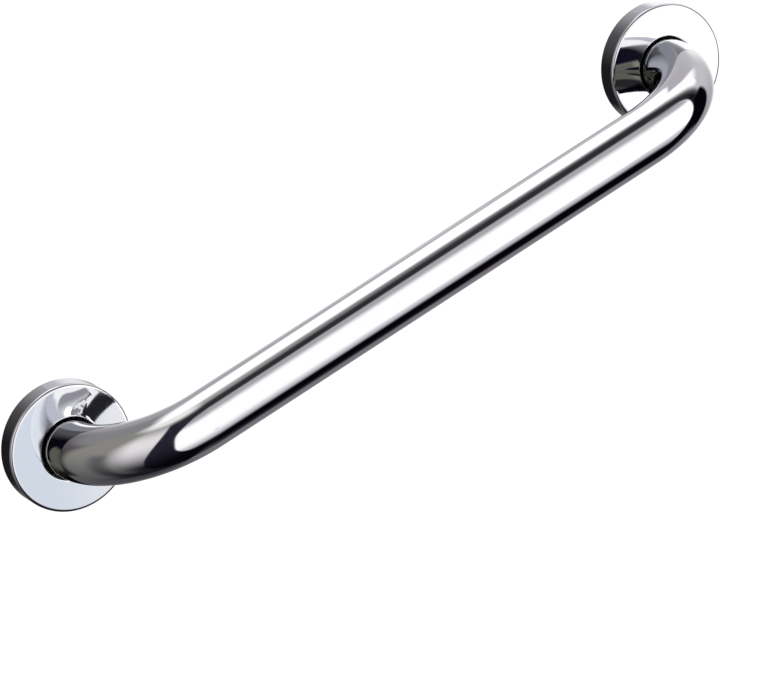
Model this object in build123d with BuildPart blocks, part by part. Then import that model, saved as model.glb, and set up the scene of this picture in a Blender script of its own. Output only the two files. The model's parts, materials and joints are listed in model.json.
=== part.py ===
from build123d import *
import os

os.makedirs("parts", exist_ok=True)

# A wall grab bar: a bent steel tube welded to two screwed plates, each under a drawn cover.
# The wall is the plane Y = 0 and the bar stands off it towards -Y. The bar runs along +X and
# +Z is up. The origin is the centre of the left fixing, on the wall. Sizes are in millimetres.

# Tube
tube_diameter = 32.0
tube_wall = 1.2
fixing_centres = 400.0
axis_to_wall = 70.0
bend_radius = 56.0
tube_end_recess = 0.4

# Mounting plate and its weld
plate_thickness = 3.0
plate_edge_chamfer = 0.5
tube_hole_clearance = 0.1
weld_leg = 3.0
weld_crown = 0.4
screw_count = 3
screw_hole_diameter = 6.4
first_screw_angle = 90.0

# Cover
cover_diameter = 70.0
cover_depth = 12.5
cover_sheet = 0.8
cover_edge_radius = 2.0
cover_wall_gap = 0.3
cover_plate_clearance = 0.2
cover_tube_clearance = 0.9
lip_depth = 2.6
lip_radius = 1.2

# Sizes that follow from these
tube_radius = tube_diameter / 2
cover_radius = cover_diameter / 2
cover_hole_radius = tube_radius + cover_tube_clearance
plate_radius = cover_radius - cover_sheet - cover_plate_clearance
weld_toe_radius = tube_radius + weld_leg
screw_circle_radius = (weld_toe_radius + plate_radius) / 2
lip_end = cover_depth - lip_depth

fixing_places = {"left": 0.0, "right": fixing_centres}


def save(piece, name):
    """Label a finished piece and write it as a STEP file of its own."""
    piece.part.label = name
    export_step(piece.part, f"parts/{name}.step")


def wall_plane(centre_x):
    """The plane of the wall at one fixing, facing the user."""
    return Plane(origin=(centre_x, 0, 0), x_dir=(1, 0, 0), z_dir=(0, -1, 0))


def section_plane(centre_x):
    """The plane of a turned section: x is the radius at one fixing, y the height off the wall."""
    return Plane(origin=(centre_x, 0, 0), x_dir=(1, 0, 0), z_dir=(0, 0, -1))


def fixing_axis(centre_x):
    """The axis that the tube end, the plate and the cover of one fixing share."""
    return Axis((centre_x, 0, 0), (0, -1, 0))


# Grip tube: one length of tube, bent 90 degrees towards the wall near each end
with BuildPart() as grip_tube:
    with BuildLine() as tube_route:
        FilletPolyline(
            (fixing_places["left"], -tube_end_recess, 0),
            (fixing_places["left"], -axis_to_wall, 0),
            (fixing_places["right"], -axis_to_wall, 0),
            (fixing_places["right"], -tube_end_recess, 0),
            radius=bend_radius,
        )
    with BuildSketch(Plane(origin=tube_route.line @ 0, z_dir=tube_route.line % 0)):
        Circle(tube_radius)
        Circle(tube_radius - tube_wall, mode=Mode.SUBTRACT)
    sweep(path=tube_route.line)
save(grip_tube, "grip_tube")

for side, centre_x in fixing_places.items():

    # Mounting plate: a flat disc on the wall with the tube through its middle
    with BuildPart() as mounting_plate:
        with BuildSketch(wall_plane(centre_x)):
            Circle(plate_radius)
            Circle(tube_radius + tube_hole_clearance, mode=Mode.SUBTRACT)
            with PolarLocations(screw_circle_radius, screw_count, start_angle=first_screw_angle):
                Circle(screw_hole_diameter / 2, mode=Mode.SUBTRACT)
        extrude(amount=plate_thickness)
        front_face = mounting_plate.faces().sort_by(Axis.Y)[0]
        rim_edge = front_face.edges().filter_by(GeomType.CIRCLE).sort_by(SortBy.RADIUS)[-1]
        chamfer(rim_edge, length=plate_edge_chamfer)
    save(mounting_plate, f"{side}_mounting_plate")

    # Weld bead: a slightly crowned fillet in the corner between the tube and the plate
    with BuildPart() as weld_bead:
        with BuildSketch(section_plane(centre_x)):
            with BuildLine():
                toe = (weld_toe_radius, plate_thickness)
                corner = (tube_radius, plate_thickness)
                top = (tube_radius, plate_thickness + weld_leg)
                Polyline(toe, corner, top)
                SagittaArc(top, toe, weld_crown)
            make_face()
        revolve(axis=fixing_axis(centre_x))
    save(weld_bead, f"{side}_weld_bead")

    # Cover: a drawn cup with a rounded edge, its hole turned inwards as a short lip
    with BuildPart() as cover:
        with BuildSketch(section_plane(centre_x)):
            with BuildLine():
                outside = FilletPolyline(
                    (cover_radius, cover_wall_gap),
                    (cover_radius, cover_depth),
                    (cover_hole_radius, cover_depth),
                    (cover_hole_radius, lip_end),
                    radius=[cover_edge_radius, lip_radius],
                )
                inside = FilletPolyline(
                    (cover_radius - cover_sheet, cover_wall_gap),
                    (cover_radius - cover_sheet, cover_depth - cover_sheet),
                    (cover_hole_radius + cover_sheet, cover_depth - cover_sheet),
                    (cover_hole_radius + cover_sheet, lip_end),
                    radius=[cover_edge_radius - cover_sheet, lip_radius - cover_sheet],
                )
                Line(outside @ 0, inside @ 0)
                Line(outside @ 1, inside @ 1)
            make_face()
        revolve(axis=fixing_axis(centre_x))
    save(cover, f"{side}_cover")
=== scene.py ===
import json
from math import atan2, cos, hypot, pi, radians, sin, tau

import bmesh
import bpy
from mathutils import Matrix, Vector


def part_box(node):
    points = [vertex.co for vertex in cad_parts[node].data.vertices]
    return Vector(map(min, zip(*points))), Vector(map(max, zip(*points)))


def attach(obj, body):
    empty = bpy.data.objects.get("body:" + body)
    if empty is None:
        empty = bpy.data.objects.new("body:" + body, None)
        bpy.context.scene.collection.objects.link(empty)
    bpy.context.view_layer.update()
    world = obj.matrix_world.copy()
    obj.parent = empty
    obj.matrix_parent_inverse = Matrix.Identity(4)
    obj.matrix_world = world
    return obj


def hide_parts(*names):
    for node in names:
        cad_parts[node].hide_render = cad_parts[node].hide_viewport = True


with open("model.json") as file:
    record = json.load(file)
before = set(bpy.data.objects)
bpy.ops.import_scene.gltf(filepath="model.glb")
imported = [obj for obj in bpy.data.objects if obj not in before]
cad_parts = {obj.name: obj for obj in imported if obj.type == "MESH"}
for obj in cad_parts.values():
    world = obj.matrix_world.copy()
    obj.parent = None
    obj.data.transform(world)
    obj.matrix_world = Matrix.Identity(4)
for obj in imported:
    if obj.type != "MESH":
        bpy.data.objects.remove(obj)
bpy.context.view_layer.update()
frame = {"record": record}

# The looks of a wall grab bar: a bent mirror-polished tube, a drawn round cover over each fixing,
# and under each cover a screwed plate with its ring of weld. Lengths are in metres. The wall is
# the plane Y = 0, the bar stands off it towards -Y, runs along +X, and +Z is up.

MM = 0.001

# Sizes that the frame gives
mounts = {mount["name"]: mount for mount in frame["record"]["mounts"]}
left_x = mounts["left_screw_holes"]["pos_m"][0]
right_x = mounts["right_screw_holes"]["pos_m"][0]
fixing_places = {"left": left_x, "right": right_x}
screw_circle_radius = mounts["left_screw_holes"]["dims"]["pcd_mm"] * MM / 2
screw_hole_radius = mounts["left_screw_holes"]["dims"]["hole_r_mm"] * MM
screw_count = mounts["left_screw_holes"]["dims"]["count"]
first_screw_angle = 90.0

tube_low, tube_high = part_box("grip_tube")
tube_radius = tube_high.z
tube_end_y = tube_high.y
tube_axis_y = tube_low.y + tube_radius

plate_low, plate_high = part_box("left_mounting_plate")
plate_radius = plate_high.z
plate_front_y = plate_low.y

cover_low, cover_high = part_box("left_cover")
cover_radius = cover_high.z
cover_rim_y = cover_high.y
cover_face_y = cover_low.y

bead_toe_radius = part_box("left_weld_bead")[1].z

# Sizes inside the pieces, as the solids have them
bend_radius = 56 * MM
tube_wall = 1.2 * MM
plate_hole_clearance = 0.1 * MM
screw_edge_round = 0.25 * MM
cover_sheet = 0.8 * MM
cover_edge_radius = 2.0 * MM
cover_hole_radius = tube_radius + 0.9 * MM
lip_depth = 2.6 * MM
lip_radius = 1.2 * MM

# How finely the round shapes are divided
tube_sides = 144
bend_steps = 72
cover_sides = 192
edge_steps = 12
plate_sides = 160
hole_sides = 48
weld_coins = 58
coin_sides = 24


# Camera: where it stands, fitted to the bar's outlines. Angles in degrees, lens and sensor in mm
camera_azimuth = -19.531
camera_elevation = 25.508
camera_roll = -24.339
camera_distance = 2.3298
camera_target = Vector((0.17041, -0.04560, -0.03178))
camera_lens = 205.01
camera_sensor = 36.0


def looking_from(azimuth, elevation, roll):
    """The turn of a camera that looks back along a direction, as a matrix of its three axes."""
    turn, rise, tip = radians(azimuth), radians(elevation), radians(roll)
    back = Vector((sin(turn) * cos(rise), -cos(turn) * cos(rise), sin(rise)))
    level_right = Vector((cos(turn), sin(turn), 0))
    level_up = back.cross(level_right)
    right = level_right * cos(tip) + level_up * sin(tip)
    return Matrix((right, back.cross(right), back)).transposed()


def add_camera():
    """The camera at the photograph's viewing angle."""
    lens = bpy.data.cameras.new("camera")
    lens.lens = camera_lens
    lens.sensor_width = camera_sensor
    camera = bpy.data.objects.new("camera", lens)
    bpy.context.collection.objects.link(camera)
    turn = looking_from(camera_azimuth, camera_elevation, camera_roll)
    back = turn.col[2]
    camera.matrix_world = Matrix.Translation(camera_target + back * camera_distance) @ turn.to_4x4()
    bpy.context.scene.camera = camera


# Small helpers for node trees

def add_node(tree, kind, **settings):
    """A new node with its settings made."""
    node = tree.nodes.new(kind)
    for name, value in settings.items():
        setattr(node, name, value)
    return node


def feed(tree, socket, value):
    """Give a socket a link or a plain value."""
    if isinstance(value, bpy.types.NodeSocket):
        tree.links.new(value, socket)
    else:
        socket.default_value = value


def maths(tree, operation, *values):
    """One Math node on links or numbers."""
    node = add_node(tree, "ShaderNodeMath", operation=operation)
    for socket, value in zip(node.inputs, values):
        feed(tree, socket, value)
    return node.outputs[0]


def ease(tree, value, start, end, low=0.0, high=1.0):
    """A soft step: low before start, high after end."""
    node = add_node(tree, "ShaderNodeMapRange", interpolation_type="SMOOTHSTEP")
    for name, given in zip(("Value", "From Min", "From Max", "To Min", "To Max"),
                           (value, start, end, low, high)):
        feed(tree, node.inputs[name], given)
    return node.outputs["Result"]


def blend_colours(tree, share, first, second):
    """The first colour turned into the second by a share."""
    node = add_node(tree, "ShaderNodeMix", data_type="RGBA")
    feed(tree, node.inputs["Factor"], share)
    feed(tree, node.inputs["A"], first)
    feed(tree, node.inputs["B"], second)
    return node.outputs["Result"]


def new_effect(name, inputs, outputs):
    """An empty node group with named inputs and outputs, and its two end nodes."""
    group = bpy.data.node_groups.new(name, "ShaderNodeTree")
    for label, kind, value in inputs:
        socket = group.interface.new_socket(label, in_out="INPUT", socket_type=kind)
        if value is not None:
            socket.default_value = value
    for label, kind in outputs:
        group.interface.new_socket(label, in_out="OUTPUT", socket_type=kind)
    return group, add_node(group, "NodeGroupInput"), add_node(group, "NodeGroupOutput")


def use_effect(tree, group, **values):
    """A group placed in a tree, its inputs given by name with _ for each space."""
    node = add_node(tree, "ShaderNodeGroup")
    node.node_tree = group
    for name, value in values.items():
        feed(tree, node.inputs[name.replace("_", " ")], value)
    return node.outputs


FLOAT, VECTOR, COLOUR = "NodeSocketFloat", "NodeSocketVector", "NodeSocketColor"


# Studio: what the polished steel shows of the room round it, by direction

# The share of the light that polished steel gives back, and the even light on dull surfaces
steel_share = 0.82
plain_level = 0.92
background_white = (1.0, 1.0, 1.0, 1.0)


def light_of(*display):
    """The light of a display colour from 0 to 255, by the usual curve of a display."""
    shares = [value / 255 for value in (display if len(display) == 3 else display * 3)]
    return [s / 12.92 if s <= 0.04045 else ((s + 0.055) / 1.055) ** 2.4 for s in shares]


def studio_panel_effect():
    """The mask of one panel by two coordinates, across and up, each side with its own softness."""
    group, given, result = new_effect(
        "studio panel",
        [("Across", FLOAT, 0.0), ("Up", FLOAT, 0.0),
         ("Left", FLOAT, -1000.0), ("Left Blend", FLOAT, 2.0),
         ("Right", FLOAT, 1000.0), ("Right Blend", FLOAT, 2.0),
         ("Bottom", FLOAT, -1000.0), ("Bottom Blend", FLOAT, 2.0),
         ("Top", FLOAT, 1000.0), ("Top Blend", FLOAT, 2.0),
         ("Slant", FLOAT, 0.0), ("Corner", FLOAT, 0.0), ("Corner Reach", FLOAT, 50.0)],
        [("Mask", FLOAT)],
    )
    pin = given.outputs
    # A slanted panel leans across by so much for each step up
    across = maths(group, "SUBTRACT", pin["Across"], maths(group, "MULTIPLY", pin["Up"], pin["Slant"]))
    # Rounded corners draw both sides in, by the fourth power of the height
    height = maths(group, "DIVIDE", maths(group, "ABSOLUTE", pin["Up"]), pin["Corner Reach"])
    drawn_in = maths(group, "MULTIPLY", maths(group, "POWER", height, 4.0), pin["Corner"])
    left = maths(group, "ADD", pin["Left"], drawn_in)
    right = maths(group, "SUBTRACT", pin["Right"], drawn_in)
    mask = None
    for value, edge, blend, rising in ((across, left, pin["Left Blend"], True),
                                       (across, right, pin["Right Blend"], False),
                                       (pin["Up"], pin["Bottom"], pin["Bottom Blend"], True),
                                       (pin["Up"], pin["Top"], pin["Top Blend"], False)):
        half = maths(group, "MULTIPLY", blend, 0.5)
        before, after = maths(group, "SUBTRACT", edge, half), maths(group, "ADD", edge, half)
        low, high = (0.0, 1.0) if rising else (1.0, 0.0)
        side = ease(group, value, before, after, low, high)
        mask = side if mask is None else maths(group, "MULTIPLY", mask, side)
    group.links.new(mask, result.inputs["Mask"])
    return group


class Room:
    """What the steel shows of its surroundings: panels of light laid over one another.

    Steel is the share of the light that is left after the steel, once or twice.
    """

    def __init__(self, tree, panel, elevation, steel):
        self.tree, self.panel, self.elevation, self.steel = tree, panel, elevation, steel
        self.colour = None

    def light(self, *display, boost=1.0):
        """The light that shows as a display colour once the steel has taken its part.

        Boost makes it stronger than white, for lights that stay white in duller steel.
        """
        return [value * boost / self.steel for value in light_of(*display)] + [1.0]

    def graded(self, low, high, start, end):
        """Light that turns from one display colour to another between two elevations."""
        share = ease(self.tree, self.elevation, start, end)
        return blend_colours(self.tree, share, self.light(*low), self.light(*high))

    def lay(self, light, place, keep=1.0, **edges):
        """A panel of light over what is there, placed by its two coordinates.

        Keep holds it inside the mask of an earlier panel. Its own mask is given back.
        """
        mask = use_effect(self.tree, self.panel, Across=place[0], Up=place[1], **edges)["Mask"]
        kept = maths(self.tree, "MULTIPLY", mask, keep)
        self.colour = blend_colours(self.tree, kept, self.colour, light)
        return kept


# Panels are placed in degrees of azimuth and elevation: ahead runs from -180 to 180 with the
# viewer's side in the middle, behind from 0 to 360 with the wall's side in the middle. Those
# overhead are placed on a ceiling one unit up, by its distances to the right and to the back.

def paint_walls(room, behind):
    """Grey walls, a dark corner behind on the left, and a lit wall to the right and behind."""
    room.colour = room.graded((64, 64, 70), (133, 132, 127), -75, 48)
    room.lay(room.graded((29, 27, 29), (90, 87, 90), 2, 44), behind, Left=150, Right=232, Right_Blend=12,
             Bottom=-33, Bottom_Blend=8, Top=46, Top_Blend=20)
    room.lay(room.graded((112, 109, 115), (190, 187, 192), -72, 6), behind, Left=88, Left_Blend=6,
             Right=168, Right_Blend=56)
    room.lay(room.light(128, 127, 131), behind, Left=80, Right=222, Right_Blend=20,
             Bottom=45, Bottom_Blend=20)


def paint_wall_lights(room, behind):
    """Two bright places on the lit wall, and the bright edge of an opening behind."""
    room.lay(room.light(252), behind, Left=131, Left_Blend=26, Right=153, Right_Blend=10,
             Bottom=-30, Bottom_Blend=26, Top=12, Top_Blend=12)
    room.lay(room.light(252), behind, Left=161, Left_Blend=4, Right=172, Right_Blend=8,
             Bottom=-26, Bottom_Blend=4, Top=4, Top_Blend=16)
    room.lay(room.light(252), behind, Left=95, Left_Blend=12, Right=117, Right_Blend=6,
             Bottom=20, Bottom_Blend=13, Top=48, Top_Blend=14)


def paint_left_side(room, ahead):
    """A glow that brightens upwards, with shade beside it and a dark floor below."""
    room.lay(room.graded((20, 18, 27), (223, 219, 222), -46, 34), ahead, Left=-76, Left_Blend=30,
             Right=-20, Top=64, Top_Blend=44)
    room.lay(room.graded((22, 22, 32), (92, 92, 94), -62, 20), ahead, Left=-101, Left_Blend=16,
             Right=-85, Right_Blend=12, Top=26, Top_Blend=20)
    room.lay(room.light(25, 24, 28), ahead, Left=-120, Left_Blend=34, Right=-40, Top=-52, Top_Blend=20)


def paint_dark_surround(room, ahead):
    """The dark parts round the front light: to its left, to its right, below it and above it."""
    room.lay(room.graded((7, 5, 12), (34, 32, 44), -62, 10), ahead, Left=-46.4, Left_Blend=3,
             Right=40, Right_Blend=40, Top=70, Top_Blend=12, Slant=0.31)
    room.lay(room.light(6, 4, 9), ahead, Left=0, Left_Blend=60, Right=94, Right_Blend=5,
             Bottom=-50, Bottom_Blend=12, Top=5, Top_Blend=5, Slant=-0.32)
    room.lay(room.light(6, 4, 9), ahead, Left=0, Left_Blend=60, Right=94, Right_Blend=20,
             Bottom=-74, Bottom_Blend=14, Top=-44, Top_Blend=12)
    room.lay(room.graded((8, 6, 11), (46, 44, 49), 4, 34), ahead, Left=0, Left_Blend=60,
             Right=86, Right_Blend=14, Bottom=2, Bottom_Blend=12, Top=70.7, Top_Blend=9)


def paint_front_light(room, ahead):
    """The large light in front: white in a grey border, with a bluish place and a corner cut off."""
    border = room.graded((180, 180, 188), (160, 158, 162), -40, 45)
    whole = room.lay(border, ahead, Left=-23.2, Right=70.8, Right_Blend=5,
                     Bottom=-46, Bottom_Blend=13, Top=54.8, Top_Blend=8, Slant=0.09, Corner=18)
    room.lay(room.light(255), ahead, Left=-23.2, Right=70.8, Right_Blend=4,
             Bottom=-31, Bottom_Blend=26, Top=37.5, Top_Blend=20, Slant=0.09, Corner=26)
    room.lay(room.light(220, 227, 237), ahead, Left=12, Left_Blend=4, Right=18.9, Right_Blend=1.2,
             Bottom=-29, Bottom_Blend=4, Top=-20, Top_Blend=4, Slant=0.09, Corner=26)
    room.lay(room.light(255, boost=1.3), ahead, Left=22, Left_Blend=7, Right=70.8, Right_Blend=4,
             Bottom=-28.5, Bottom_Blend=7, Top=20, Top_Blend=20, Slant=0.09, Corner=26)
    room.lay(room.light(168, 165, 171), ahead, keep=whole, Left=87, Left_Blend=22, Slant=-1.25)
    room.lay(room.light(40, 38, 44), ahead, keep=whole, Left=114, Left_Blend=20, Slant=-1.25)


def paint_overhead(room, ahead, ceiling, above):
    """A pale spot straight up, and a long white light that reaches back, grey beside it."""
    room.lay(room.light(228), ahead, Bottom=77, Bottom_Blend=12)
    room.lay(room.light(255, boost=1.1), ceiling, keep=above, Left=-0.145, Left_Blend=0.15,
             Right=3, Right_Blend=2.5, Bottom=0.12, Bottom_Blend=0.23, Top=2.6, Top_Blend=1.2, Slant=0.51)
    room.lay(room.graded((190, 187, 193), (172, 169, 175), 12, 34), ceiling, keep=above, Left=0.73,
             Left_Blend=0.06, Right=6, Bottom=0.56, Bottom_Blend=0.12, Top=6, Slant=0.05)


def paint_second_left(room, ahead):
    """Left side for steel seen in steel: an olive grey band between blacks, white overhead."""
    room.colour = room.graded((60, 60, 64), (120, 118, 122), -40, 20)
    room.lay(room.light(96, 95, 88), ahead, Right=-26, Right_Blend=8, Bottom=-26, Bottom_Blend=6,
             Top=20, Top_Blend=10)
    room.lay(room.light(132, 130, 120), ahead, Left=-48, Left_Blend=12, Right=-26,
             Bottom=-20, Bottom_Blend=12, Top=20, Top_Blend=10)
    room.lay(room.light(38, 37, 38), ahead, Right=-16, Right_Blend=24, Bottom=-54, Bottom_Blend=10,
             Top=-27, Top_Blend=6)
    room.lay(room.light(4, 3, 8), ahead, Left=-34, Left_Blend=16, Right=20, Right_Blend=8,
             Bottom=-70, Bottom_Blend=10, Top=-34, Top_Blend=8)
    room.lay(room.light(18, 14, 30), ahead, Right=-11, Right_Blend=26, Bottom=22, Bottom_Blend=8,
             Top=60, Top_Blend=8)
    room.lay(room.light(250), ahead, Left=2, Left_Blend=16, Right=70, Bottom=47, Bottom_Blend=5)


def paint_second_right(room, ahead):
    """Right side for steel seen in steel: white with a grey arch, black below it."""
    room.lay(room.graded((252, 252, 252), (244, 244, 247), 12, 28), ahead, Left=24, Left_Blend=10,
             Right=114, Right_Blend=8, Bottom=-16, Bottom_Blend=4)
    room.lay(room.light(252), ahead, Left=51, Left_Blend=8, Right=90, Bottom=20, Bottom_Blend=4,
             Top=52, Slant=-1.2)
    arch = room.lay(room.light(148, 146, 153), ahead, Left=26, Left_Blend=7, Right=98, Right_Blend=5,
                    Bottom=-4, Bottom_Blend=4, Top=32, Top_Blend=3, Corner=14, Corner_Reach=30)
    room.lay(room.light(252), ahead, keep=arch, Right=90, Right_Blend=90, Slant=-3.57)
    room.lay(room.light(252), ahead, Left=182, Left_Blend=14, Slant=-4, Bottom=20, Top=36, Top_Blend=6)
    room.lay(room.light(252, boost=2.6), ahead, Left=19, Left_Blend=4, Right=46, Right_Blend=4,
             Bottom=-30, Top=10, Top_Blend=10)
    room.lay(room.light(34, 33, 38), ahead, Left=44, Left_Blend=10, Right=107, Right_Blend=4,
             Top=-16, Top_Blend=3)
    room.lay(room.light(34, 33, 38), ahead, Left=14, Left_Blend=6, Right=60, Right_Blend=4,
             Top=-28, Top_Blend=4)


def paint_second_front(room, ahead):
    """Front for steel seen in steel: a pale light with round corners and a black strip at its left."""
    room.lay(room.light(16, 14, 22), ahead, Left=-35, Right=-20, Right_Blend=4,
             Bottom=-14, Bottom_Blend=6, Top=30, Top_Blend=8)
    room.lay(room.light(192, 192, 202), ahead, Left=8, Left_Blend=10, Right=30, Right_Blend=8,
             Bottom=12, Bottom_Blend=8, Top=29, Top_Blend=3)
    room.lay(room.graded((226, 230, 237), (172, 174, 182), 10, 24), ahead, Left=-22, Left_Blend=7,
             Right=19, Right_Blend=6, Bottom=-34, Bottom_Blend=8, Top=24, Top_Blend=6,
             Corner=22, Corner_Reach=27)


def add_studio():
    """White to the camera, a plain soft level on dull surfaces, the painted rooms on polished ones."""
    world = bpy.data.worlds.new("studio")
    bpy.context.scene.world = world
    world.use_nodes = True
    tree = world.node_tree
    tree.nodes.clear()
    parts = add_node(tree, "ShaderNodeSeparateXYZ")
    feed(tree, parts.inputs[0], add_node(tree, "ShaderNodeTexCoord").outputs["Generated"])
    x, y, z = parts.outputs
    azimuth = maths(tree, "DEGREES", maths(tree, "ARCTAN2", x, maths(tree, "MULTIPLY", y, -1.0)))
    elevation = maths(tree, "DEGREES", maths(tree, "ARCSINE", z))
    ahead = (azimuth, elevation)
    behind = (maths(tree, "FLOORED_MODULO", azimuth, 360.0), elevation)
    height = maths(tree, "MAXIMUM", z, 0.001)
    ceiling = (maths(tree, "DIVIDE", x, height), maths(tree, "DIVIDE", y, height))
    above = maths(tree, "GREATER_THAN", z, 0.0)
    panel = studio_panel_effect()

    # The room that the steel shows straight off
    room = Room(tree, panel, elevation, steel_share)
    paint_walls(room, behind)
    paint_left_side(room, ahead)
    paint_dark_surround(room, ahead)
    paint_front_light(room, ahead)
    paint_overhead(room, ahead, ceiling, above)
    paint_wall_lights(room, behind)

    # The room that steel shows by way of other steel
    second_room = Room(tree, panel, elevation, steel_share ** 2)
    paint_second_left(second_room, ahead)
    paint_second_right(second_room, ahead)
    paint_second_front(second_room, ahead)

    path = add_node(tree, "ShaderNodeLightPath").outputs
    again = maths(tree, "GREATER_THAN", path["Glossy Depth"], 1.5)
    polished = blend_colours(tree, again, room.colour, second_room.colour)
    plain = [plain_level] * 3 + [1.0]
    seen = blend_colours(tree, path["Is Glossy Ray"], plain, polished)
    through = maths(tree, "MAXIMUM", path["Is Camera Ray"], path["Is Transmission Ray"])
    seen = blend_colours(tree, through, seen, background_white)
    background = add_node(tree, "ShaderNodeBackground")
    feed(tree, background.inputs["Color"], seen)
    output = add_node(tree, "ShaderNodeOutputWorld")
    tree.links.new(background.outputs[0], output.inputs["Surface"])


floor_drop = 0.9
floor_size = 60.0
floor_glow = 0.12
soft_light_size = 2.4
soft_light_power = 34.0
soft_light_place = Vector((-0.6, -1.6, 2.4))


def floor_material():
    """A plain white floor that keeps the shadow and lets a view from under it through."""
    material, tree, surface = new_finish("floor_white", (0.95, 0.95, 0.95), roughness=0.9, metallic=0.0)
    place = add_node(tree, "ShaderNodeTexCoord").outputs["Object"]
    grain = add_node(tree, "ShaderNodeTexNoise")
    feed(tree, grain.inputs["Vector"], place)
    feed(tree, grain.inputs["Scale"], 3.0)
    feed(tree, surface.inputs["Roughness"], ease(tree, grain.outputs["Fac"], 0.2, 0.8, low=0.85, high=0.95))
    glow = add_node(tree, "ShaderNodeEmission")
    camera_ray = add_node(tree, "ShaderNodeLightPath").outputs["Is Camera Ray"]
    feed(tree, glow.inputs["Strength"], maths(tree, "MULTIPLY", camera_ray, floor_glow))
    lit = add_node(tree, "ShaderNodeAddShader")
    tree.links.new(surface.outputs[0], lit.inputs[0])
    tree.links.new(glow.outputs[0], lit.inputs[1])
    clear = add_node(tree, "ShaderNodeBsdfTransparent")
    sides = add_node(tree, "ShaderNodeMixShader")
    feed(tree, sides.inputs[0], add_node(tree, "ShaderNodeNewGeometry").outputs["Backfacing"])
    tree.links.new(lit.outputs[0], sides.inputs[1])
    tree.links.new(clear.outputs[0], sides.inputs[2])
    tree.links.new(sides.outputs[0], tree.nodes["Material Output"].inputs["Surface"])
    return material


def add_floor():
    """The pale floor, well below the bar. Polished steel sees the studio's own dark floor instead."""
    clear_selection()
    bpy.ops.mesh.primitive_plane_add(size=floor_size, location=(0, 0, -floor_drop))
    floor = bpy.context.object
    floor.name = "floor"
    floor.data.materials.append(floor_material())
    floor.visible_glossy = False


def add_soft_light():
    """One large soft lamp from the upper left front. Its shape is kept out of the reflections."""
    lamp = bpy.data.lights.new("soft_light", "AREA")
    lamp.size = soft_light_size
    lamp.energy = soft_light_power
    light = bpy.data.objects.new("soft_light", lamp)
    bpy.context.collection.objects.link(light)
    light.location = soft_light_place
    light.rotation_euler = (camera_target - soft_light_place).to_track_quat("-Z", "Y").to_euler()
    light.visible_glossy = False
    light.visible_camera = False


# Effects that the finishes share

def smudge_effect():
    """Soft cloudy patches, such as polish and handling leave, as a mask."""
    group, given, result = new_effect(
        "smudges",
        [("Vector", VECTOR, None), ("Scale", FLOAT, 30.0), ("Amount", FLOAT, 0.5)],
        [("Mask", FLOAT)],
    )
    clouds = add_node(group, "ShaderNodeTexNoise")
    feed(group, clouds.inputs["Vector"], given.outputs["Vector"])
    feed(group, clouds.inputs["Scale"], given.outputs["Scale"])
    feed(group, clouds.inputs["Detail"], 5.0)
    feed(group, clouds.inputs["Roughness"], 0.6)
    patches = ease(group, clouds.outputs["Fac"], 0.45, 0.72)
    feed(group, result.inputs["Mask"], maths(group, "MULTIPLY", patches, given.outputs["Amount"]))
    return group


def line_effect():
    """Fine lines that run along the first direction of the vector, as a value round 0.5."""
    group, given, result = new_effect(
        "fine lines",
        [("Vector", VECTOR, None), ("Along", FLOAT, 20.0), ("Across", FLOAT, 900.0)],
        [("Value", FLOAT)],
    )
    stretch = add_node(group, "ShaderNodeCombineXYZ")
    feed(group, stretch.inputs["X"], given.outputs["Along"])
    feed(group, stretch.inputs["Y"], given.outputs["Across"])
    feed(group, stretch.inputs["Z"], given.outputs["Across"])
    scaled = add_node(group, "ShaderNodeVectorMath", operation="MULTIPLY")
    feed(group, scaled.inputs[0], given.outputs["Vector"])
    feed(group, scaled.inputs[1], stretch.outputs[0])
    lines = add_node(group, "ShaderNodeTexNoise")
    feed(group, lines.inputs["Vector"], scaled.outputs[0])
    feed(group, lines.inputs["Scale"], 1.0)
    feed(group, lines.inputs["Detail"], 3.0)
    feed(group, result.inputs["Value"], lines.outputs["Fac"])
    return group


def waviness_effect():
    """The slow unevenness of drawn and bent metal, as a height in metres."""
    group, given, result = new_effect(
        "waviness",
        [("Vector", VECTOR, None), ("Scale", FLOAT, 40.0), ("Height", FLOAT, 0.00001)],
        [("Height", FLOAT)],
    )
    swell = add_node(group, "ShaderNodeTexNoise")
    feed(group, swell.inputs["Vector"], given.outputs["Vector"])
    feed(group, swell.inputs["Scale"], given.outputs["Scale"])
    feed(group, swell.inputs["Detail"], 1.0)
    centred = maths(group, "SUBTRACT", swell.outputs["Fac"], 0.5)
    feed(group, result.inputs["Height"], maths(group, "MULTIPLY", centred, given.outputs["Height"]))
    return group


def heat_tint_effect():
    """The straw, brown and blue bands that welding leaves round a hot radius, and their mask."""
    group, given, result = new_effect(
        "heat tint",
        [("Radius", FLOAT, 0.0), ("Hot Radius", FLOAT, 0.019), ("Width", FLOAT, 0.006)],
        [("Colour", COLOUR), ("Mask", FLOAT)],
    )
    away = maths(group, "SUBTRACT", given.outputs["Radius"], given.outputs["Hot Radius"])
    share = maths(group, "DIVIDE", away, given.outputs["Width"])
    bands = add_node(group, "ShaderNodeValToRGB")
    ramp = bands.color_ramp
    ramp.elements[0].color = (0.20, 0.20, 0.22, 1.0)
    ramp.elements[1].color = (0.62, 0.55, 0.42, 1.0)
    for position, colour in ((0.22, (0.16, 0.20, 0.34, 1.0)),
                             (0.42, (0.30, 0.19, 0.26, 1.0)),
                             (0.62, (0.55, 0.40, 0.20, 1.0))):
        ramp.elements.new(position).color = colour
    feed(group, bands.inputs["Fac"], share)
    fading = ease(group, share, 0.35, 1.0, low=1.0, high=0.0)
    feed(group, result.inputs["Colour"], bands.outputs["Color"])
    feed(group, result.inputs["Mask"], fading)
    return group


smudges = smudge_effect()
fine_lines = line_effect()
waviness = waviness_effect()
heat_tint = heat_tint_effect()


# Finishes

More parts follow.
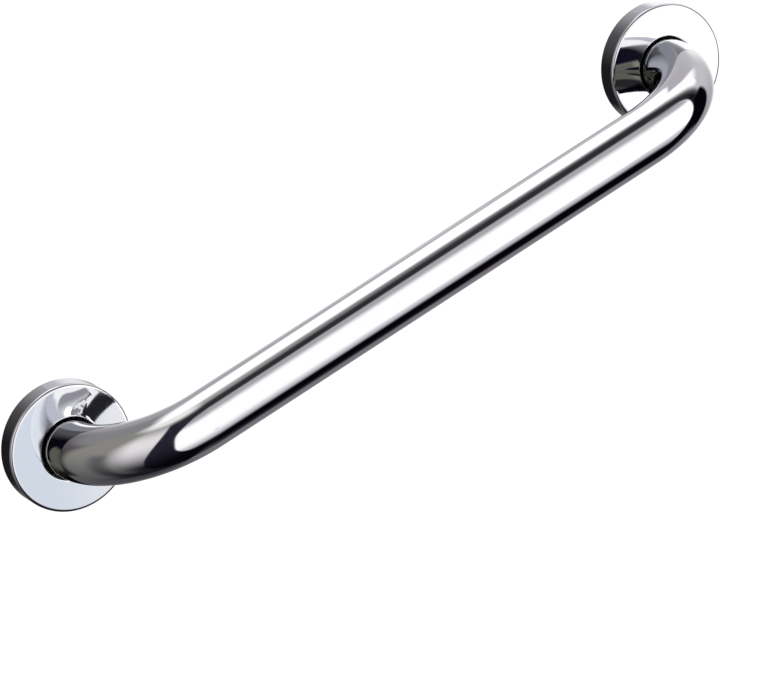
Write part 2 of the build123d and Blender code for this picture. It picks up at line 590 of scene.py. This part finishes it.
# How high the marks on each finish stand, and how far the heat of the weld reaches
swell_height = 0.02 * MM
scratch_depth = 0.0003 * MM
mill_line_depth = 0.004 * MM
plate_line_depth = 0.006 * MM
weld_scale_depth = 0.03 * MM
heat_tint_width = 9 * MM


def new_finish(name, colour, roughness, metallic):
    """A material with one Principled shader, and its tree and shader."""
    material = bpy.data.materials.new(name)
    material.use_nodes = True
    tree = material.node_tree
    surface = tree.nodes["Principled BSDF"]
    surface.inputs["Base Color"].default_value = (*colour, 1.0)
    surface.inputs["Roughness"].default_value = roughness
    surface.inputs["Metallic"].default_value = metallic
    return material, tree, surface


def bump(tree, surface, height):
    """Feed a height in metres to a shader's normal."""
    node = add_node(tree, "ShaderNodeBump")
    feed(tree, node.inputs["Strength"], 1.0)
    feed(tree, node.inputs["Distance"], 1.0)
    feed(tree, node.inputs["Height"], height)
    feed(tree, surface.inputs["Normal"], node.outputs["Normal"])


def mirror_finish(name, colour, dull_colour, polish_map, along, across, share_left_by_painted_shade=1.0):
    """Mirror-polished steel with faint polish lines, smudges and a slight unevenness.

    The share given last is the part of its colour that is left where other steel shows it: painted shade
    that darkens it in reflections only.
    """
    material, tree, surface = new_finish(name, colour, roughness=0.03, metallic=1.0)
    place = add_node(tree, "ShaderNodeTexCoord").outputs["Object"]
    pattern = add_node(tree, "ShaderNodeUVMap", uv_map=polish_map).outputs["UV"]
    marks = use_effect(tree, smudges, Vector=place, Scale=34.0, Amount=1.0)["Mask"]
    lines = use_effect(tree, fine_lines, Vector=pattern, Along=along, Across=across)["Value"]
    swell = use_effect(tree, waviness, Vector=place, Scale=26.0, Height=swell_height)["Height"]
    shade = maths(tree, "ADD", maths(tree, "MULTIPLY", marks, 0.35), maths(tree, "MULTIPLY", lines, 0.2))
    polish = blend_colours(tree, shade, (*colour, 1.0), (*dull_colour, 1.0))
    # Painted shade: where other steel reflects this surface, its colour is darkened to the share given.
    painted_shade_colour = [value * share_left_by_painted_shade for value in colour] + [1.0]
    in_steel = add_node(tree, "ShaderNodeLightPath").outputs["Is Glossy Ray"]
    feed(tree, surface.inputs["Base Color"], blend_colours(tree, in_steel, polish, painted_shade_colour))
    rough = maths(tree, "ADD", maths(tree, "MULTIPLY", marks, 0.035), maths(tree, "MULTIPLY", lines, 0.03))
    feed(tree, surface.inputs["Roughness"], maths(tree, "ADD", rough, 0.015))
    scratches = maths(tree, "MULTIPLY", lines, scratch_depth)
    bump(tree, surface, maths(tree, "ADD", swell, scratches))
    return material


def polished_tube():
    """The tube's outside: buffed along its length."""
    return mirror_finish("polished_tube", colour=(0.83, 0.83, 0.84), dull_colour=(0.79, 0.79, 0.81),
                         polish_map="along_tube", along=6.0, across=260.0)


def polished_cover():
    """A cover's outside: bright, faintly blue, buffed round."""
    # Painted shade: the cover keeps only 0.45 of its colour where the tube and other steel reflect it.
    return mirror_finish("polished_cover", colour=(0.73, 0.74, 0.76), dull_colour=(0.69, 0.70, 0.73),
                         polish_map="round_cover", along=8.0, across=420.0, share_left_by_painted_shade=0.45)


def mill_finish(name, colour, roughness):
    """Unpolished steel, as drawn or rolled: dull, with soft lines and blotches."""
    material, tree, surface = new_finish(name, colour, roughness, metallic=1.0)
    place = add_node(tree, "ShaderNodeTexCoord").outputs["Object"]
    marks = use_effect(tree, smudges, Vector=place, Scale=60.0, Amount=1.0)["Mask"]
    lines = use_effect(tree, fine_lines, Vector=place, Along=60.0, Across=1400.0)["Value"]
    darker = [value * 0.72 for value in colour] + [1.0]
    shade = maths(tree, "ADD", maths(tree, "MULTIPLY", marks, 0.5), maths(tree, "MULTIPLY", lines, 0.4))
    feed(tree, surface.inputs["Base Color"], blend_colours(tree, shade, (*colour, 1.0), darker))
    rough = ease(tree, shade, 0.0, 1.0, low=roughness - 0.05, high=roughness + 0.12)
    feed(tree, surface.inputs["Roughness"], rough)
    bump(tree, surface, maths(tree, "MULTIPLY", lines, mill_line_depth))
    return material


def radius_from(tree, place, centre_x):
    """The distance of a point from one fixing's axis."""
    parts = add_node(tree, "ShaderNodeSeparateXYZ")
    feed(tree, parts.inputs[0], place)
    across = maths(tree, "SUBTRACT", parts.outputs["X"], centre_x)
    across_squared = maths(tree, "POWER", across, 2.0)
    up_squared = maths(tree, "POWER", parts.outputs["Z"], 2.0)
    return maths(tree, "SQRT", maths(tree, "ADD", across_squared, up_squared))


def plate_steel(side, centre_x):
    """Rolled plate as stamped, tinted by heat round the weld."""
    colour = (0.60, 0.60, 0.60)
    material, tree, surface = new_finish(f"plate_steel_{side}", colour, roughness=0.34, metallic=0.65)
    place = add_node(tree, "ShaderNodeTexCoord").outputs["Object"]
    marks = use_effect(tree, smudges, Vector=place, Scale=70.0, Amount=1.0)["Mask"]
    lines = use_effect(tree, fine_lines, Vector=place, Along=45.0, Across=1800.0)["Value"]
    radius = radius_from(tree, place, centre_x)
    tint = use_effect(tree, heat_tint, Radius=radius, Hot_Radius=tube_radius, Width=heat_tint_width)
    rolled = blend_colours(tree, maths(tree, "MULTIPLY", lines, 0.5),
                           (*colour, 1.0), (0.44, 0.44, 0.45, 1.0))
    stained = blend_colours(tree, maths(tree, "MULTIPLY", marks, 0.4), rolled, (0.36, 0.36, 0.37, 1.0))
    heated = maths(tree, "MULTIPLY", tint["Mask"], 0.85)
    feed(tree, surface.inputs["Base Color"], blend_colours(tree, heated, stained, tint["Colour"]))
    feed(tree, surface.inputs["Roughness"], ease(tree, lines, 0.2, 0.8, low=0.26, high=0.42))
    bump(tree, surface, maths(tree, "MULTIPLY", lines, plate_line_depth))
    return material


def weld_metal():
    """Weld metal as it froze: grey, faintly straw and blue, with a scaly skin."""
    material, tree, surface = new_finish("weld_metal", (0.13, 0.12, 0.12), roughness=0.38, metallic=1.0)
    place = add_node(tree, "ShaderNodeTexCoord").outputs["Object"]
    scale = add_node(tree, "ShaderNodeTexNoise")
    feed(tree, scale.inputs["Vector"], place)
    feed(tree, scale.inputs["Scale"], 260.0)
    feed(tree, scale.inputs["Detail"], 4.0)
    bands = add_node(tree, "ShaderNodeValToRGB")
    ramp = bands.color_ramp
    ramp.elements[0].position = 0.32
    ramp.elements[0].color = (0.05, 0.06, 0.09, 1.0)
    ramp.elements[1].position = 0.72
    ramp.elements[1].color = (0.24, 0.20, 0.15, 1.0)
    ramp.elements.new(0.5).color = (0.12, 0.11, 0.11, 1.0)
    feed(tree, bands.inputs["Fac"], scale.outputs["Fac"])
    feed(tree, surface.inputs["Base Color"], bands.outputs["Color"])
    roughness = ease(tree, scale.outputs["Fac"], 0.3, 0.7, low=0.28, high=0.5)
    feed(tree, surface.inputs["Roughness"], roughness)
    bump(tree, surface, maths(tree, "MULTIPLY", scale.outputs["Fac"], weld_scale_depth))
    return material


# Modelling helpers

def clear_selection():
    """Leave edit mode and deselect every object."""
    if bpy.context.mode != "OBJECT":
        bpy.ops.object.mode_set(mode="OBJECT")
    bpy.ops.object.select_all(action="DESELECT")


def ring_of_points(name, radius, sides, centre_x, y):
    """A circle of points round a fixing's axis, its place in its mesh, left in edit mode."""
    clear_selection()
    bpy.ops.mesh.primitive_circle_add(vertices=sides, radius=radius,
                                      location=(centre_x, y, 0), rotation=(pi / 2, 0, 0))
    piece = bpy.context.object
    piece.name = name
    bpy.ops.object.transform_apply(location=True, rotation=True, scale=True)
    bpy.ops.object.mode_set(mode="EDIT")
    bpy.ops.mesh.select_all(action="SELECT")
    return piece


def extrude(x=0.0, y=0.0, z=0.0):
    """Extrude what is selected."""
    bpy.ops.mesh.extrude_region_move(TRANSFORM_OT_translate={"value": (x, y, z)})


def resize_round(centre_x, share):
    """Scale what is selected about a fixing's axis."""
    bpy.ops.transform.resize(value=(share, 1.0, share), center_override=(centre_x, 0, 0))


def select_edges(piece, wanted):
    """Select the edges whose two ends both pass a test, in edit mode."""
    bpy.ops.mesh.select_all(action="DESELECT")
    bpy.ops.mesh.select_mode(type="EDGE")
    mesh = bmesh.from_edit_mesh(piece.data)
    for edge in mesh.edges:
        edge.select_set(all(wanted(point.co) for point in edge.verts))
    mesh.select_flush_mode()
    bmesh.update_edit_mesh(piece.data)


def near(value, wanted):
    """Whether two lengths agree to a hundredth of a millimetre."""
    return abs(value - wanted) < 0.01 * MM


def radius_of(point, centre_x):
    """The distance of a point from one fixing's axis."""
    return hypot(point.z, point.x - centre_x)


def beside(turn, other):
    """An angle brought within half a circle of another, so that a map has no jump in a face."""
    if other is None:
        return turn
    while turn - other > pi:
        turn -= tau
    while other - turn > pi:
        turn += tau
    return turn


def face_outwards(piece, is_outward):
    """Merge doubles and turn all faces outwards, told by one test on a face's centre and normal."""
    bpy.ops.mesh.select_all(action="SELECT")
    bpy.ops.mesh.remove_doubles(threshold=0.001 * MM)
    bpy.ops.mesh.normals_make_consistent(inside=False)
    mesh = bmesh.from_edit_mesh(piece.data)
    mesh.faces.ensure_lookup_table()
    if not is_outward(mesh.faces[0]):
        bpy.ops.mesh.flip_normals()


def apply_modifier(piece, kind, **settings):
    """Add a modifier with its settings and apply it."""
    modifier = piece.modifiers.new(kind.lower(), kind)
    for name, value in settings.items():
        setattr(modifier, name, value)
    bpy.context.view_layer.objects.active = piece
    bpy.ops.object.modifier_apply(modifier=modifier.name)


def smooth(piece, angle):
    """Smooth shading but for edges sharper than an angle, flat faces kept truly flat."""
    clear_selection()
    piece.select_set(True)
    bpy.context.view_layer.objects.active = piece
    bpy.ops.object.shade_smooth_by_angle(angle=radians(angle))
    apply_modifier(piece, "WEIGHTED_NORMAL", mode="FACE_AREA", keep_sharp=True)


def hand_over(piece, node):
    """Put a finished piece in the place of its solid."""
    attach(piece, "root")
    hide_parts(node)


# Grip tube

route_straight = right_x - left_x - 2 * bend_radius
bend_start_y = tube_axis_y + bend_radius
leg_length = tube_end_y - bend_start_y
bend_length = bend_radius * pi / 2


def place_on_tube(point, facing):
    """How far along the tube a point is, and its turn round the section. Facing picks the span."""
    near_left = facing.x < (left_x + right_x) / 2
    end_x = left_x if near_left else right_x
    inward = 1 if near_left else -1
    centre = Vector((end_x + inward * bend_radius, bend_start_y, 0))
    if facing.y > bend_start_y:
        along = tube_end_y - point.y
        outward = (end_x - point.x) * inward
    elif (facing.x - centre.x) * inward < 0:
        reach = Vector(((centre.x - point.x) * inward, centre.y - point.y, 0))
        turn = Vector((1, 0, 0)).angle(reach)
        along = leg_length + bend_radius * turn
        outward = reach.length - bend_radius
    else:
        along = leg_length + bend_length + (point.x - centre.x) * inward
        outward = centre.y - bend_radius - point.y
    if not near_left:
        along = 2 * (leg_length + bend_length) + route_straight - along
    return along, outward


def lay_tube_map(tube):
    """A map of the distance along the tube and the distance round it, for the polish lines."""
    layer = tube.data.uv_layers.new(name="along_tube")
    for face in tube.data.polygons:
        first_turn = None
        for corner in face.loop_indices:
            point = tube.data.vertices[tube.data.loops[corner].vertex_index].co
            along, outward = place_on_tube(point, face.center)
            turn = beside(atan2(point.z, outward), first_turn)
            first_turn = turn if first_turn is None else first_turn
            layer.data[corner].uv = (along, turn * tube_radius)


def bend_tube(centre_x):
    """Sweep the tube's open end a quarter turn round a bend's centre."""
    bpy.ops.mesh.spin(steps=bend_steps, angle=-pi / 2, center=(centre_x, bend_start_y, 0), axis=(0, 0, 1))


def face_points_out_of_leg(face):
    """Whether a face of the left leg's wall points away from the leg's axis."""
    return face.normal.dot(face.calc_center_median() - Vector((left_x, 0, 0))) > 0


def model_grip_tube():
    """A ring of points swept up a leg, round a bend, along the grip and down again.

    The tube's bore and cut ends take the second finish.
    """
    tube = ring_of_points("grip_tube_polished", tube_radius, tube_sides, left_x, tube_end_y)
    extrude(y=-leg_length)
    bend_tube(left_x + bend_radius)
    extrude(x=route_straight)
    bend_tube(right_x - bend_radius)
    extrude(y=leg_length)
    face_outwards(tube, face_points_out_of_leg)
    clear_selection()
    apply_modifier(tube, "SOLIDIFY", thickness=tube_wall, offset=-1.0, use_even_offset=True,
                   material_offset=1, material_offset_rim=1)
    smooth(tube, 40.0)
    lay_tube_map(tube)
    tube.data.materials.append(polished_tube())
    tube.data.materials.append(mill_finish("tube_bore", (0.50, 0.50, 0.50), roughness=0.4))
    hand_over(tube, "grip_tube")


# Covers

def lay_cover_map(cover, centre_x):
    """A map of the distance round the axis and the distance from the rim along the section."""
    layer = cover.data.uv_layers.new(name="round_cover")
    for face in cover.data.polygons:
        first_turn = None
        for corner in face.loop_indices:
            point = cover.data.vertices[cover.data.loops[corner].vertex_index].co
            turn = beside(atan2(point.z, point.x - centre_x), first_turn)
            first_turn = turn if first_turn is None else first_turn
            from_rim = (cover_rim_y - point.y) + (cover_radius - radius_of(point, centre_x))
            layer.data[corner].uv = (turn * cover_radius, from_rim)


def round_face_edge(cover, centre_x, edge_radius, rounding):
    """Round one of the two edges of the cover's flat face."""
    select_edges(cover, lambda point: near(point.y, cover_face_y)
                 and near(radius_of(point, centre_x), edge_radius))
    bpy.ops.mesh.bevel(offset=rounding, segments=edge_steps, affect="EDGES")


def face_points_out_of_cup(face, centre_x):
    """Whether a face of the thin cup points away from the space inside it."""
    centre = face.calc_center_median()
    inner = Vector((centre_x, (cover_rim_y + cover_face_y) / 2, 0))
    ring_radius = (cover_radius + cover_hole_radius) / 2
    spoke = Vector((centre.x - centre_x, 0, centre.z)).normalized() * ring_radius
    return face.normal.dot(centre - (inner + spoke)) > 0


def model_cover(side, centre_x, outside, inside):
    """A cup drawn up from its rim, in across its face and down into the hole's lip.

    The sheet's inner side takes the second finish, its cut edges the first.
    """
    cover = ring_of_points(f"{side}_cover_polished", cover_radius, cover_sides, centre_x, cover_rim_y)
    extrude(y=cover_face_y - cover_rim_y)
    extrude()
    resize_round(centre_x, cover_hole_radius / cover_radius)
    extrude(y=lip_depth)
    round_face_edge(cover, centre_x, cover_radius, cover_edge_radius)
    round_face_edge(cover, centre_x, cover_hole_radius, lip_radius)
    face_outwards(cover, lambda face: face_points_out_of_cup(face, centre_x))
    clear_selection()
    apply_modifier(cover, "SOLIDIFY", thickness=cover_sheet, offset=-1.0, use_even_offset=True,
                   material_offset=1, material_offset_rim=0)
    smooth(cover, 40.0)
    lay_cover_map(cover, centre_x)
    cover.data.materials.append(outside)
    cover.data.materials.append(inside)
    hand_over(cover, f"{side}_cover")


# Mounting plates

def disc(centre, radius, depth, sides):
    """A round disc parallel to the wall, its place in its mesh."""
    clear_selection()
    bpy.ops.mesh.primitive_cylinder_add(vertices=sides, radius=radius, depth=depth,
                                        location=centre, rotation=(pi / 2, 0, 0))
    bpy.ops.object.transform_apply(location=True, rotation=True, scale=True)
    return bpy.context.object


def cut_hole(plate, centre, radius, depth, sides):
    """Cut a round hole through a plate."""
    cutter = disc(centre, radius, depth, sides)
    apply_modifier(plate, "BOOLEAN", operation="DIFFERENCE", object=cutter, solver="EXACT")
    bpy.data.objects.remove(cutter)


def model_plate(side, centre_x, finish):
    """A stamped disc with the tube's hole and the screw holes cut through."""
    thickness = -plate_front_y
    centre = Vector((centre_x, plate_front_y / 2, 0))
    plate = disc(centre, plate_radius, thickness, plate_sides)
    plate.name = f"{side}_mounting_plate_stamped"
    cut_hole(plate, centre, tube_radius + plate_hole_clearance, 3 * thickness, plate_sides)
    for number in range(screw_count):
        angle = radians(first_screw_angle) + tau * number / screw_count
        spoke = Vector((cos(angle), 0, sin(angle))) * screw_circle_radius
        cut_hole(plate, centre + spoke, screw_hole_radius, 3 * thickness, hole_sides)
    apply_modifier(plate, "BEVEL", width=screw_edge_round, segments=3,
                   limit_method="ANGLE", angle_limit=radians(40))
    smooth(plate, 35.0)
    plate.data.materials.append(finish)
    hand_over(plate, f"{side}_mounting_plate")


# Weld beads

# The coins' place and size in shares of the bead's leg, how flat they are, and how they are melted
# together
coin_place = 0.42
coin_radius = 0.56
coin_flatness = 0.62
weld_voxel = 0.22 * MM
weld_smoothing = 4


def model_weld_bead(side, centre_x, finish):
    """A row of overlapping coins of metal laid in the corner round the tube, melted into one ring."""
    clear_selection()
    leg = bead_toe_radius - tube_radius
    middle = Vector((centre_x + tube_radius + leg * coin_place, plate_front_y - leg * coin_place, 0))
    bpy.ops.mesh.primitive_uv_sphere_add(segments=coin_sides, ring_count=coin_sides // 2,
                                         radius=leg * coin_radius, location=middle)
    bead = bpy.context.object
    bead.name = f"{side}_weld_bead_rippled"
    bpy.ops.object.transform_apply(location=True, rotation=True, scale=True)
    bpy.ops.object.mode_set(mode="EDIT")
    bpy.ops.mesh.select_all(action="SELECT")
    bpy.ops.transform.resize(value=(1.0, 1.0, coin_flatness), center_override=middle)
    bpy.ops.mesh.spin(steps=weld_coins, angle=tau, dupli=True, center=(centre_x, 0, 0), axis=(0, 1, 0))
    clear_selection()
    apply_modifier(bead, "REMESH", mode="VOXEL", voxel_size=weld_voxel)
    apply_modifier(bead, "SMOOTH", factor=0.5, iterations=weld_smoothing)
    smooth(bead, 80.0)
    bead.data.materials.append(finish)
    hand_over(bead, f"{side}_weld_bead")


add_camera()
add_studio()
add_floor()
add_soft_light()

model_grip_tube()
cover_outside = polished_cover()
cover_inside = mill_finish("cover_inside", (0.58, 0.58, 0.59), roughness=0.32)
bead_finish = weld_metal()
for side, centre_x in fixing_places.items():
    model_cover(side, centre_x, cover_outside, cover_inside)
    model_plate(side, centre_x, plate_steel(side, centre_x))
    model_weld_bead(side, centre_x, bead_finish)

bpy.context.scene.view_settings.view_transform = "Standard"
